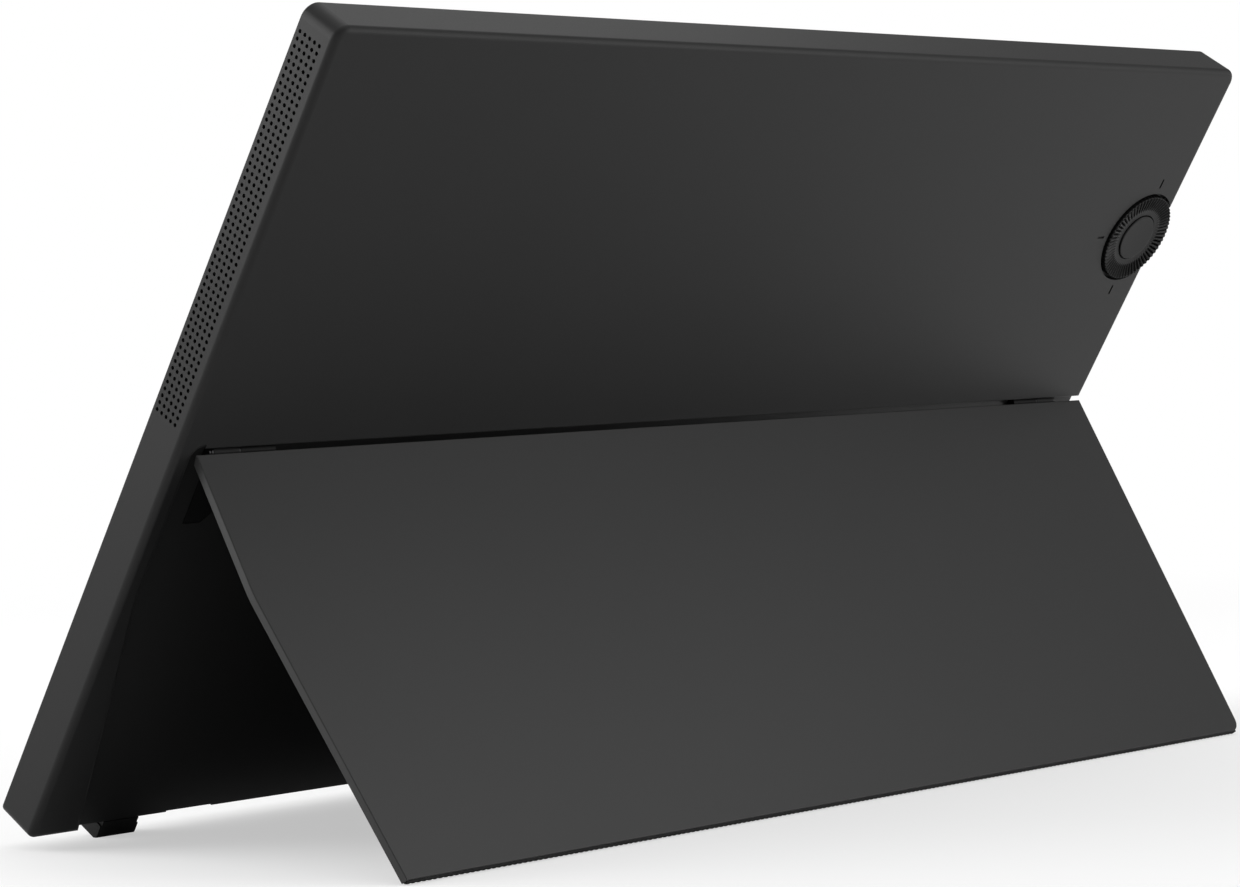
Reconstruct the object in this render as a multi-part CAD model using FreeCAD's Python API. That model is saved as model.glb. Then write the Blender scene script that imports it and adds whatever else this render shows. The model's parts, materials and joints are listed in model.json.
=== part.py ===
import FreeCAD, Part
import math
import os

# Portable monitor with a folding rear stand.  All lengths are in millimetres.
# Each piece is drawn with the monitor upright and its stand shut:
# x runs to the viewer's right, y from the screen's front to the back, z from the bottom edge up.
# The stand is then swung open and the whole monitor leans back on its feet and stand.

# Screen panel and the borders round it
panel_width = 314.4
panel_height = 181.5
side_border = 5.8
top_border = 8.5
bottom_border = 11.4

# Casing
case_depth = 11.5
top_corner_radius = 3.5
bottom_corner_radius = 1.8
rear_edge_radius = 1.5
front_edge_radius = 0.4
side_wall = 1.6
rear_wall = 1.4
cavity_corner_radius = 2.0

# Shallow recess in the lower back that takes the folded stand
recess_depth = 2.4
recess_floor_wall = 1.2
floor_edge_radius = 0.3
ledge_share = 0.503
ledge_end_radius = 2.0
ledge_edge_radius = 0.4
rim_width = 5.0
rim_foot_width = 14.5
rim_straight = 37.0
rim_corner_radius = 2.5
rim_bend_radius = 30.0
bottom_notch_depth = 0.5
bottom_notch_length = 14.0
bottom_notch_reach = 3.0
bottom_notch_inset = 48.5

# Vent holes in the side wall
vent_columns = 5
vent_row_pitch = 1.693
vent_column_pitch = 1.62
vent_hole_radius = 0.45
vent_first_depth = 1.5
vent_top_inset = 6.1
vent_bottom_inset = 4.2
mesh_thickness = 0.5
mesh_margin = 0.8

# Screen stack, from the front glass backwards
glass_setback = 0.15
frame_gap = 0.15
glass_thickness = 0.7
glass_edge_radius = 0.15
panel_gap = 0.2
panel_thickness = 1.1
sheet_margin = 1.0
diffuser_thickness = 0.4
guide_thickness = 0.8
led_strip_height = 2.2
led_strip_gap = 0.3
reflector_thickness = 0.2
back_plate_thickness = 0.4
chassis_thickness = 0.8

# Screws that hold the chassis plate to the casing
case_screw_radius = 1.0
case_screw_head_radius = 1.7
case_screw_length = 3.4
screw_play = 0.05
boss_radius = 2.6
screw_row_inset = 9.4
wide_screw_shares = (-0.43, -0.16, 0.16, 0.43)
ledge_screw_shares = (-0.31, 0.31)

# Stand plate and its hinges
stand_thickness = 2.0
stand_lip = 2.83
stand_side_gap = 0.5
stand_corner_radius = 3.0
stand_edge_radius = 0.25
stand_top_bevel = 1.67
stand_open_angle = 61.3
hinge_drop = 2.23
stand_top_drop = 1.3
grip_width = 1.2
grip_depth = 1.2
grip_proud = 0.4
grip_face_inset = 0.3
grip_end_inset = 8.0
knuckle_radius = 1.7
pin_radius = 0.75
pin_head_radius = 1.4
pin_head_thickness = 0.6
pin_play = 0.04
hinge_edge_inset = 12.0
moving_knuckle_length = 7.2
moving_knuckle_proud = 0.8
fixed_knuckle_length = 10.0
knuckle_gap = 0.1
washer_thickness = 0.4
washer_radius = 1.6
hinge_room = 0.4
leaf_thickness = 1.0
leaf_length = 26.0
leaf_height = 15.8
leaf_clear = 0.6
leaf_play = 0.05
bracket_thickness = 1.2
bracket_length = 30.0
bracket_drop = 20.4
bracket_tab_width = 4.6
bracket_shoulder = 5.0
bracket_play = 0.2
hinge_block_wall = 1.1
hinge_block_margin = 2.4
bracket_screw_radius = 0.9
bracket_screw_head_radius = 1.6
bracket_screw_head_depth = 0.6
bracket_screw_length = 2.4
bracket_screw_shares = (0.1, 0.5, 0.9)
leaf_screw_radius = 0.7
leaf_screw_head_radius = 1.3
leaf_screw_head_depth = 0.5
leaf_screw_length = 1.5
leaf_screw_shares = (0.12, 0.5, 0.88)
cross_width = 0.4
cross_depth = 0.3
cross_reach_share = 0.6

# Rubber feet under the bottom edge
foot_length = 11.3
foot_width = 6.6
foot_drop = 4.8
foot_trim = 0.45
foot_inset = 22.6
foot_neck_height = 1.2
foot_neck_inset = 0.5
foot_round = 0.9
foot_stem_length = 7.0
foot_stem_width = 3.0
foot_stem_height = 1.3
foot_stem_play = 0.05

# Threaded insert for a camera tripod, low on the back
tripod_thread_radius = 2.6
tripod_thread_depth = 4.8
tripod_height = 25.0
nut_radius = 5.5
nut_base = 0.5
nut_boss_wall = 1.8
nut_play = 0.1

# Main board and its sockets
board_edge_gap = 0.6
board_length = 90.0
board_bottom = 18.0
board_top_gap = 4.5
board_thickness = 1.0
board_standoff = 0.9
spacer_radius = 2.2
board_screw_radius = 1.0
board_screw_head_radius = 1.8
board_screw_head_height = 0.7
board_screw_length = 1.7
board_screw_inset = 4.0
board_screw_share = 0.25
chip_side = 13.0
chip_height = 0.7
shield_length = 34.0
shield_width = 30.0
shield_height = 1.1
shield_wall = 0.3
shield_x_share = 0.5
shield_z_share = 0.5
port_setback = 0.2
port_play = 0.15
port_wall = 0.3
port_depth = 6.2
port_height = 3.0
usb_width = 8.9
usb_length = 7.5
usb_upper_share = 0.82
usb_lower_share = 0.57
usb_tongue_width = 6.6
usb_tongue_thickness = 0.7
usb_tongue_setback = 1.2
hdmi_width = 6.9
hdmi_length = 7.0
hdmi_share = 0.28
hdmi_bevel = 1.0
hdmi_tongue_width = 4.0
hdmi_tongue_thickness = 0.6
hdmi_tongue_setback = 1.0
tongue_base = 1.5
tongue_play = 0.03

# Rotary dial at the edge of the back
dial_radius = 12.4
dial_gap = 0.8
dial_edge_inset = 10.25
dial_share = 0.5
dial_sink = 2.0
dial_floor_wall = 1.2
dial_floor_gap = 0.3
dial_rim_rise = 0.8
dial_inner_rise = 0.05
dial_rim_bevel = 0.4
dial_land_radius = 8.0
flute_count = 60
flute_width = 0.6
flute_depth = 0.4
spindle_radius = 3.0
spindle_play = 0.05
spindle_drop = 2.6
bush_wall = 1.15
bush_play = 0.06
clip_radius = 4.0
clip_thickness = 0.3
clip_gap = 0.15
tick_length = 2.7
tick_width = 0.65
tick_depth = 0.35
tick_distance = 16.2
cap_radius = 6.4
cap_seam = 0.2
cap_rise = 0.4
cap_thickness = 0.85
cap_round = 0.25
cap_travel = 0.4
cap_floor_gap = 0.1
stem_radius = 1.5
stem_play = 0.06

# Control board, its switches and the two side keys
control_board_width = 15.0
control_board_edge_gap = 2.0
control_board_thickness = 0.8
control_board_rise = 2.7
control_board_top_margin = 8.6
encoder_side = 13.0
encoder_height = 2.25
encoder_play = 0.1
dial_switch_radius = 1.4
dial_switch_height = 0.5
dial_switch_gap = 0.05
power_key_share = 0.255
menu_key_share = 0.1
key_length = 9.0
key_thickness = 2.6
key_depth = 6.2
key_proud = 0.3
key_round = 0.25
key_play = 0.12
key_flange = 1.0
key_flange_thickness = 0.7
key_flange_gap = 0.1
key_travel = 0.4
switch_length = 4.6
switch_width = 3.0
switch_height = 1.7
plunger_length = 1.8
plunger_thickness = 1.0
plunger_gap = 0.1

# Flat cables
cable_thickness = 0.2
cable_land = 6.0
cable_step = 2.4
cable_edge_gap = 0.6
control_cable_width = 5.0
control_cable_inset = 13.0
panel_cable_width = 16.0
panel_cable_share = 0.5
panel_cable_run = 42.0
cable_slot_play = 0.4

# Workshop values
cut_overrun = 4.0
pick_tolerance = 0.01

# Places that follow from the sizes above
case_width = panel_width + side_border * 2
case_height = bottom_border + panel_height + top_border
half_width = case_width / 2
ledge_height = case_height * ledge_share
upper_height = case_height - ledge_height
vent_rows = 1 + int((upper_height - vent_top_inset - vent_bottom_inset) / vent_row_pitch)
floor_depth = case_depth - recess_depth
floor_inner = floor_depth - recess_floor_wall
wall_inner = half_width - side_wall
frame_half = wall_inner - frame_gap
frame_bottom = side_wall + frame_gap
frame_top = case_height - side_wall - frame_gap
glass_rear = glass_setback + glass_thickness
panel_rear = glass_rear + panel_thickness
diffuser_rear = panel_rear + diffuser_thickness
guide_rear = diffuser_rear + guide_thickness
reflector_rear = guide_rear + reflector_thickness
chassis_front = reflector_rear + back_plate_thickness
chassis_rear = chassis_front + chassis_thickness
board_front = chassis_rear + board_standoff
board_rear = board_front + board_thickness
hinge_depth = case_depth - stand_thickness
hinge_height = ledge_height - hinge_drop
hinge_outer = half_width - hinge_edge_inset
knuckle_outer = hinge_outer + moving_knuckle_proud
knuckle_inner = knuckle_outer - moving_knuckle_length
fixed_outer = knuckle_inner - knuckle_gap - washer_thickness
fixed_inner = fixed_outer - fixed_knuckle_length
bracket_floor = floor_depth - bracket_thickness
knuckle_floor = hinge_depth - knuckle_radius - hinge_room
bracket_top = hinge_height - knuckle_radius - hinge_room * 2
bracket_bottom = ledge_height - bracket_drop
pin_head_inner = knuckle_outer + knuckle_gap + washer_thickness
pin_head_outer = pin_head_inner + pin_head_thickness
stand_top = hinge_height - stand_top_drop
stand_bottom = -stand_lip
dial_x = dial_edge_inset - half_width
dial_height = ledge_height + upper_height * dial_share
dial_floor = case_depth - dial_sink
dial_base = dial_floor + dial_floor_gap
dial_rim_top = case_depth + dial_rim_rise
dial_land_top = case_depth + dial_inner_rise
cap_top = case_depth + cap_rise
cap_bottom = cap_top - cap_thickness
cap_floor = cap_bottom - cap_travel - cap_floor_gap
spindle_bottom = dial_floor - spindle_drop
control_board_rear = chassis_rear + control_board_thickness
control_board_edge = control_board_edge_gap - wall_inner
control_board_bottom = ledge_height + control_board_rise
power_key_height = ledge_height + upper_height * power_key_share
menu_key_height = ledge_height + upper_height * menu_key_share
board_top = bracket_bottom - hinge_block_margin - board_top_gap
board_height = board_top - board_bottom
usb_upper_height = board_bottom + board_height * usb_upper_share
usb_lower_height = board_bottom + board_height * usb_lower_share
hdmi_height = board_bottom + board_height * hdmi_share
panel_cable_height = board_bottom + board_height * panel_cable_share
stem_bottom = control_board_rear + dial_switch_height + dial_switch_gap + cap_travel
foot_outer = half_width - foot_inset
foot_contact = foot_trim - foot_drop


def vector(x, y, z):
    return FreeCAD.Vector(x, y, z)


def block(x_range, y_range, z_range):
    """Box between a low and a high value along each axis."""
    size = [high - low for low, high in (x_range, y_range, z_range)]
    return Part.makeBox(*size, vector(x_range[0], y_range[0], z_range[0]))


def around(middle, width):
    """Range of one width about a middle value."""
    return (middle - width / 2, middle + width / 2)


def rod_x(radius, x_range, y, z):
    """Cylinder along x."""
    return Part.makeCylinder(radius, x_range[1] - x_range[0], vector(x_range[0], y, z), vector(1, 0, 0))


def rod_y(radius, x, y_range, z):
    """Cylinder along y, from the front towards the back."""
    return Part.makeCylinder(radius, y_range[1] - y_range[0], vector(x, y_range[0], z), vector(0, 1, 0))


def rounded_wire(corners):
    """Closed wire through (point, radius) corners, each rounded by an arc of its own radius."""
    points = [point for point, radius in corners]
    edges = []
    joints = []
    for index, (point, radius) in enumerate(corners):
        back = (points[index - 1] - point).normalize()
        ahead = (points[(index + 1) % len(points)] - point).normalize()
        half_angle = back.getAngle(ahead) / 2
        reach = radius / math.tan(half_angle)
        start = point + back * reach
        end = point + ahead * reach
        joints.append((start, end))
        if radius > 0:
            bisector = (back + ahead).normalize()
            middle = point + bisector * (radius / math.sin(half_angle) - radius)
            edges.append(Part.Arc(start, middle, end).toShape())
    for index, (start, end) in enumerate(joints):
        following = joints[(index + 1) % len(joints)][0]
        edges.append(Part.LineSegment(end, following).toShape())
    return Part.Wire(Part.__sortEdges__(edges))


def slab(corners, y_range):
    """Plate over an outline of (x, z, corner radius) corners, between two depths."""
    wire = rounded_wire([(vector(x, y_range[0], z), radius) for x, z, radius in corners])
    return Part.Face(wire).extrude(vector(0, y_range[1] - y_range[0], 0))


def side_slab(corners, x_range):
    """Bar over an outline of (y, z, corner radius) corners, along x."""
    wire = rounded_wire([(vector(x_range[0], y, z), radius) for y, z, radius in corners])
    return Part.Face(wire).extrude(vector(x_range[1] - x_range[0], 0, 0))


def stadium(y, z, thickness, length, x_range):
    """Bar along x with a section that is long in z and has round ends."""
    radius = thickness / 2 - pick_tolerance
    y_range = around(y, thickness)
    z_range = around(z, length)
    corners = [(y_range[i], z_range[j], radius) for i, j in ((0, 0), (1, 0), (1, 1), (0, 1))]
    return side_slab(corners, x_range)


def rectangle(x_range, z_range, radius):
    """Corners of a rounded rectangle for a plate."""
    return [(x_range[i], z_range[j], radius) for i, j in ((0, 0), (1, 0), (1, 1), (0, 1))]


def turned(profile, x, z):
    """Solid of revolution about a y axis from (radius, depth) points."""
    points = [vector(x + radius, y, z) for radius, y in profile]
    face = Part.Face(Part.makePolygon(points + points[:1]))
    return face.revolve(vector(x, 0, z), vector(0, 1, 0), 360)


def edges_at_depth(shape, y):
    """Edges that lie flat at one depth."""
    return [edge for edge in shape.Edges
            if all(abs(corner.Y - y) < pick_tolerance for corner in edge.Vertexes)
            and abs(edge.CenterOfMass.y - y) < pick_tolerance]


def edges_at_side(shape, x):
    """Edges that lie flat at one x."""
    return [edge for edge in shape.Edges
            if all(abs(corner.X - x) < pick_tolerance for corner in edge.Vertexes)
            and abs(edge.CenterOfMass.x - x) < pick_tolerance]


def mirrored(shape, side):
    """The shape as drawn for the right side, or its mirror image for the left."""
    return shape if side > 0 else shape.mirror(vector(0, 0, 0), vector(1, 0, 0))


def both_sides(shape):
    return [mirrored(shape, side) for side in (1, -1)]


def screw(x, y_head, z, head_radius, head_depth, radius, length, inwards):
    """Screw along y: its head's face is at y_head and its length runs inwards (-1) or outwards (1)."""
    ends = sorted((y_head, y_head + inwards * head_depth))
    shank = sorted((y_head, y_head + inwards * length))
    return rod_y(head_radius, x, ends, z).fuse(rod_y(radius, x, shank, z)).removeSplitter()


def driven_screw(x, y_head, z, head_radius, head_depth, radius, length, inwards):
    """Screw along y with two crossed slots for a screwdriver in its head."""
    body = screw(x, y_head, z, head_radius, head_depth, radius, length, inwards)
    depth = sorted((y_head, y_head + inwards * cross_depth))
    reach = head_radius * cross_reach_share * 2
    slots = [block(around(x, reach), depth, around(z, cross_width)),
             block(around(x, cross_width), depth, around(z, reach))]
    return body.cut(slots)


def countersunk(x, z, grow):
    """Countersunk case screw, from the front face of the chassis plate, grown by a play."""
    head = Part.makeCone(case_screw_head_radius + grow, case_screw_radius + grow, chassis_thickness,
                         vector(x, chassis_front, z), vector(0, 1, 0))
    reach = chassis_front + case_screw_length + grow
    return head.fuse(rod_y(case_screw_radius + grow, x, (chassis_front, reach), z)).removeSplitter()


def case_screw_places():
    """Places of the case screws: wide rows at the top and bottom, and a short row above the ledge."""
    rows = ((screw_row_inset, wide_screw_shares),
            (ledge_height + screw_row_inset, ledge_screw_shares),
            (case_height - screw_row_inset, wide_screw_shares))
    return [(share * case_width, height) for height, shares in rows for share in shares]


def ports():
    """Height, width and length of the three sockets."""
    return ((usb_upper_height, usb_width, usb_length),
            (usb_lower_height, usb_width, usb_length),
            (hdmi_height, hdmi_width, hdmi_length))


def hdmi_outline(grow):
    """Socket outline with two bevelled corners, grown by a play."""
    y_low, y_high = around(port_depth, port_height + grow * 2)
    z_low, z_high = around(hdmi_height, hdmi_width + grow * 2)
    return [(y_low, z_low, 0), (y_high - hdmi_bevel, z_low, 0), (y_high, z_low + hdmi_bevel, 0),
            (y_high, z_high - hdmi_bevel, 0), (y_high - hdmi_bevel, z_high, 0), (y_low, z_high, 0)]


def stand_edge(height, gap):
    """x of the slanting edge between the stand and the rim, at one height."""
    kink = ledge_height - rim_straight
    slope = (rim_foot_width - rim_width) / kink
    return half_width - rim_width - gap - max(kink - height, 0) * slope


def bracket_outline(grow):
    """Fixed hinge leaf: a plate with a tab at its outer lower corner and a root for its knuckle."""
    outer = hinge_outer + grow
    inner = hinge_outer - bracket_length - grow
    low = bracket_bottom - grow
    shoulder = low + bracket_shoulder
    tab = hinge_outer - bracket_tab_width - grow
    return [(outer, low, 0), (outer, bracket_top + grow, 0), (fixed_outer + grow, bracket_top + grow, 0),
            (fixed_outer + grow, hinge_height, 0), (fixed_inner - grow, hinge_height, 0),
            (fixed_inner - grow, bracket_top + grow, 0), (inner, bracket_top + grow, 0),
            (inner, shoulder, 0), (tab - bracket_shoulder, shoulder, 0), (tab, low, 0)]


def bracket_screw_places():
    z = (bracket_bottom + bracket_shoulder + bracket_top) / 2
    return [(hinge_outer - bracket_length * share, z) for share in bracket_screw_shares]


def leaf_top():
    """Top of the moving leaf beside the fixed knuckle, clear of it at any angle."""
    return hinge_height - knuckle_radius - leaf_clear


def leaf_outline(grow):
    """Moving hinge leaf: a plate inlaid in the stand, with a neck up to its knuckle."""
    outer = knuckle_outer + grow
    inner = knuckle_outer - leaf_length - grow
    neck = knuckle_inner - grow
    low = leaf_top() - leaf_height - grow
    top = leaf_top() + grow
    return [(outer, low, 0), (outer, hinge_height, 0), (neck, hinge_height, 0),
            (neck, top, 0), (inner, top, 0), (inner, low, 0)]


def leaf_screw_places():
    z = leaf_top() - leaf_height / 2
    return [(knuckle_outer - leaf_length * share, z) for share in leaf_screw_shares]


def raised_back():
    """Thicker upper back with the rim beside the stand: round edges, and a sharper one at the ledge."""
    kink = ledge_height - rim_straight
    corners = [(-half_width, ledge_height, ledge_end_radius),
               (-half_width, case_height, top_corner_radius),
               (half_width, case_height, top_corner_radius),
               (half_width, 0, bottom_corner_radius),
               (half_width - rim_foot_width, 0, 0),
               (half_width - rim_width, kink, rim_bend_radius),
               (half_width - rim_width, ledge_height, rim_corner_radius)]
    body = slab(corners, (floor_depth - recess_depth, case_depth))
    rounded = body.makeFillet(rear_edge_radius, edges_at_depth(body, case_depth))
    lip_size = rear_edge_radius + ledge_edge_radius
    lip = [(case_depth, ledge_height, ledge_edge_radius), (case_depth, ledge_height + lip_size, 0),
           (case_depth - lip_size, ledge_height + lip_size, 0), (case_depth - lip_size, ledge_height, 0)]
    lip_range = (ledge_end_radius - half_width, half_width - rim_width - rim_corner_radius)
    return rounded.fuse(side_slab(lip, lip_range)).removeSplitter()


def casing_block():
    """Casing before it is hollowed: a flat slab with the raised back on it."""
    corners = [(-half_width, 0, bottom_corner_radius), (-half_width, case_height, top_corner_radius),
               (half_width, case_height, top_corner_radius), (half_width, 0, bottom_corner_radius)]
    base = slab(corners, (0, floor_depth))
    base = base.makeFillet(front_edge_radius, edges_at_depth(base, 0))
    base = base.makeFillet(floor_edge_radius, edges_at_depth(base, floor_depth))
    return base.fuse(raised_back()).removeSplitter()


def casing_cavity():
    """Inside of the casing: shallow behind the recess and deeper above the ledge."""
    x_range = (-wall_inner, wall_inner)
    shallow = rectangle(x_range, (side_wall, case_height - side_wall), cavity_corner_radius)
    deep_range = (ledge_height + rear_wall, case_height - side_wall)
    deep = rectangle(x_range, deep_range, 0)[:2] + rectangle(x_range, deep_range, cavity_corner_radius)[2:]
    lower = slab(shallow, (-cut_overrun, floor_inner))
    upper = slab(deep, (chassis_rear, case_depth - rear_wall))
    return lower.fuse(upper)


def inner_bosses(casing):
    """Screw bosses, hinge blocks, the tripod boss and the floor under the dial."""
    bosses = []
    for x, z in case_screw_places():
        back = case_depth if z > ledge_height else floor_depth
        bosses.append(rod_y(boss_radius, x, (chassis_rear, back - rear_wall / 2), z))
    hinge_block = block((hinge_outer - bracket_length - hinge_block_margin,
                         pin_head_outer + hinge_block_margin),
                        (knuckle_floor - hinge_block_wall, floor_depth),
                        (bracket_bottom - hinge_block_margin, ledge_height + rear_wall))
    bosses += both_sides(hinge_block)
    bosses.append(rod_y(nut_radius + nut_boss_wall, 0, (chassis_rear, floor_depth), tripod_height))
    dial_boss = rod_y(dial_radius + dial_gap + side_wall, dial_x,
                      (dial_floor - dial_floor_wall, case_depth), dial_height)
    bosses.append(dial_boss.common(casing))
    return bosses


def casing_openings():
    """Pockets, holes and slots cut in the casing after its bosses are added."""
    cuts = [rod_y(case_screw_radius + screw_play, x,
                  (chassis_rear - cut_overrun, chassis_front + case_screw_length + screw_play), z)
            for x, z in case_screw_places()]
    bracket_pocket = slab(bracket_outline(bracket_play), (bracket_floor, floor_depth + cut_overrun))
    knuckle_pocket = block((fixed_inner - hinge_room, pin_head_outer + hinge_room),
                           (knuckle_floor, floor_depth + recess_depth),
                           (bracket_top - bracket_play, ledge_height))
    cuts += both_sides(bracket_pocket) + both_sides(knuckle_pocket)
    for x, z in bracket_screw_places():
        depth = (floor_depth - bracket_screw_length - screw_play, floor_depth)
        cuts += both_sides(rod_y(bracket_screw_radius + screw_play, x, depth, z))
    cuts.append(rod_y(nut_radius + nut_play, 0, (chassis_rear - cut_overrun, floor_depth + cut_overrun),
                      tripod_height))
    cuts.append(rod_y(dial_radius + dial_gap, dial_x, (dial_floor, case_depth + cut_overrun), dial_height))
    cuts.append(rod_y(spindle_radius + spindle_play + bush_wall + bush_play, dial_x,
                      (dial_floor - dial_floor_wall - cut_overrun, case_depth), dial_height))
    cuts += dial_ticks()
    wall = (-half_width - cut_overrun, cut_overrun - half_width)
    for height in (power_key_height, menu_key_height):
        cuts.append(stadium(key_depth, height, key_thickness + key_play * 2,
                            key_length + key_play * 2, wall))
    for height in (usb_upper_height, usb_lower_height):
        cuts.append(stadium(port_depth, height, port_height + port_play * 2,
                            usb_width + port_play * 2, wall))
    cuts.append(side_slab(hdmi_outline(port_play), wall))
    socket = block(around(foot_outer - foot_length / 2, foot_stem_length + foot_stem_play * 2),
                   around(floor_depth - foot_width / 2, foot_stem_width + foot_stem_play * 2),
                   (-cut_overrun, foot_stem_height + foot_stem_play))
    cuts += both_sides(socket)
    notch_middle = half_width - bottom_notch_inset
    cuts.append(block(around(notch_middle, bottom_notch_length),
                      (floor_depth - bottom_notch_reach, floor_depth + cut_overrun),
                      (-cut_overrun, bottom_notch_depth)))
    return cuts


def dial_ticks():
    """Three short engraved marks above, beside and below the dial."""
    depth = (case_depth - tick_depth, case_depth + cut_overrun)
    marks = [block(around(dial_x + tick_distance, tick_length), depth, around(dial_height, tick_width))]
    for sign in (1, -1):
        middle = dial_height + sign * tick_distance
        marks.append(block(around(dial_x, tick_width), depth, around(middle, tick_length)))
    return marks


def vent_holes():
    """Square grid of round holes through the right side wall."""
    holes = []
    for row in range(vent_rows):
        z = case_height - vent_top_inset - row * vent_row_pitch
        for column in range(vent_columns):
            y = vent_first_depth + column * vent_column_pitch
            holes.append(rod_x(vent_hole_radius, (wall_inner - side_wall, half_width + side_wall), y, z))
    return holes


def rear_cover():
    casing = casing_block()
    shell = casing.cut(casing_cavity())
    shell = shell.fuse(inner_bosses(casing)).removeSplitter()
    shell = shell.cut(casing_openings())
    return shell.cut(vent_holes())


def vent_mesh():
    rows_height = (vent_rows - 1) * vent_row_pitch
    z_top = case_height - vent_top_inset + mesh_margin
    return block((wall_inner - mesh_thickness, wall_inner),
                 (chassis_rear, case_depth - rear_wall - mesh_margin),
                 (z_top - rows_height - mesh_margin * 2, z_top))


def inside_plate(y_range):
    """Plate that fills the casing's front opening, less a small gap."""
    corners = rectangle((-frame_half, frame_half), (frame_bottom, frame_top), cavity_corner_radius)
    return slab(corners, y_range)


def panel_plate(margin, y_range):
    """Plate of the panel's outline, drawn in by a margin."""
    half = panel_width / 2 - margin
    return block((-half, half), y_range, (bottom_border + margin, case_height - top_border - margin))


def cover_glass():
    plate = inside_plate((glass_setback, glass_rear))
    return plate.makeFillet(glass_edge_radius, edges_at_depth(plate, glass_setback))


def front_frame():
    return inside_plate((glass_rear, chassis_front)).cut(panel_plate(-panel_gap, (0, case_depth)))


def lcd_panel():
    return panel_plate(0, (glass_rear, panel_rear))


def diffuser_sheet():
    return panel_plate(sheet_margin, (panel_rear, diffuser_rear))


def guide_bottom():
    return bottom_border + sheet_margin + led_strip_height + led_strip_gap


def light_guide():
    half = panel_width / 2 - sheet_margin
    return block((-half, half), (diffuser_rear, guide_rear),
                 (guide_bottom(), case_height - top_border - sheet_margin))


def led_strip():
    half = panel_width / 2 - sheet_margin
    bottom = bottom_border + sheet_margin
    return block((-half, half), (diffuser_rear, guide_rear), (bottom, bottom + led_strip_height))


def reflector_sheet():
    return panel_plate(sheet_margin, (guide_rear, reflector_rear))


def panel_back_plate():
    return panel_plate(0, (reflector_rear, chassis_front))


def cable_slot():
    """Slot in the chassis plate where the panel's cable comes through."""
    inner_end = panel_cable_path()[-1][0]
    return block((inner_end - cable_land - cable_step - cable_slot_play, inner_end + cable_slot_play),
                 (chassis_front - cut_overrun, chassis_rear + cut_overrun),
                 around(panel_cable_height, panel_cable_width + cable_slot_play * 2))


def chassis_plate():
    plate = inside_plate((chassis_front, chassis_rear))
    cuts = [countersunk(x, z, screw_play) for x, z in case_screw_places()]
    cuts.append(rod_y(nut_radius + frame_gap, 0, (0, case_depth), tripod_height))
    cuts.append(cable_slot())
    return plate.cut(cuts)


def case_screws():
    return Part.makeCompound([countersunk(x, z, 0) for x, z in case_screw_places()])


def tripod_nut():
    thread_end = floor_depth - tripod_thread_depth
    nut = rod_y(nut_radius, 0, (thread_end - nut_base, floor_depth), tripod_height)
    return nut.cut(rod_y(tripod_thread_radius, 0, (thread_end, case_depth), tripod_height))


def board_left():
    return board_edge_gap - wall_inner


def board_screw_places():
    x_range = (board_left() + board_length * board_screw_share,
               board_left() + board_length - board_screw_inset)
    z_range = (board_bottom + board_screw_inset, board_top - board_screw_inset)
    return [(x, z) for x in x_range for z in z_range]


def main_board():
    board = block((board_left(), board_left() + board_length), (board_front, board_rear),
                  (board_bottom, board_top))
    cuts = [rod_y(board_screw_radius + screw_play, x, (0, case_depth), z) for x, z in board_screw_places()]
    for height, width, length in ports():
        cuts.append(block((-half_width, port_setback - half_width + length + port_play), (0, case_depth),
                          around(height, width + port_play * 2)))
    return board.cut(cuts)


def board_spacers():
    spacers = []
    for x, z in board_screw_places():
        spacer = rod_y(spacer_radius, x, (chassis_rear, board_front), z)
        spacers.append(spacer.cut(rod_y(board_screw_radius + screw_play, x, (0, case_depth), z)))
    return Part.makeCompound(spacers)


def board_screws():
    head = board_rear + board_screw_head_height
    return Part.makeCompound([driven_screw(x, head, z, board_screw_head_radius, board_screw_head_height,
                                           board_screw_radius, board_screw_length + board_screw_head_height,
                                           -1)
                              for x, z in board_screw_places()])


def shield_middle():
    return (board_left() + board_length * shield_x_share, board_bottom + board_height * shield_z_share)


def scaler_chip():
    x, z = shield_middle()
    return block(around(x, chip_side), (board_rear, board_rear + chip_height), around(z, chip_side))


def board_shield():
    x, z = shield_middle()
    top = board_rear + shield_height
    outside = block(around(x, shield_length), (board_rear, top), around(z, shield_width))
    inside = block(around(x, shield_length - shield_wall * 2), (board_front, top - shield_wall),
                   around(z, shield_width - shield_wall * 2))
    return outside.cut(inside)


def port_range(length):
    return (port_setback - half_width, port_setback - half_width + length)


def usb_shell(height):
    inner = port_wall * 2
    start, end = port_range(usb_length)
    outside = stadium(port_depth, height, port_height, usb_width, (start, end))
    inside = stadium(port_depth, height, port_height - inner, usb_width - inner,
                     (start - cut_overrun, end + cut_overrun))
    return outside.cut(inside)


def usb_tongue(height):
    start, end = port_range(usb_length)
    inner = (port_wall + tongue_play) * 2
    base = stadium(port_depth, height, port_height - inner, usb_width - inner, (end - tongue_base, end))
    blade = block((start + usb_tongue_setback, end), around(port_depth, usb_tongue_thickness),
                  around(height, usb_tongue_width))
    return base.fuse(blade).removeSplitter()


def usb_c_tongues():
    return Part.makeCompound([usb_tongue(height) for height in (usb_upper_height, usb_lower_height)])


def hdmi_shell():
    start, end = port_range(hdmi_length)
    inside = side_slab(hdmi_outline(-port_wall), (start - cut_overrun, end + cut_overrun))
    return side_slab(hdmi_outline(0), (start, end)).cut(inside)


def hdmi_tongue():
    start, end = port_range(hdmi_length)
    base = side_slab(hdmi_outline(-port_wall - tongue_play), (end - tongue_base, end))
    blade = block((start + hdmi_tongue_setback, end), around(port_depth, hdmi_tongue_thickness),
                  around(hdmi_height, hdmi_tongue_width))
    return base.fuse(blade).removeSplitter()


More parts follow.
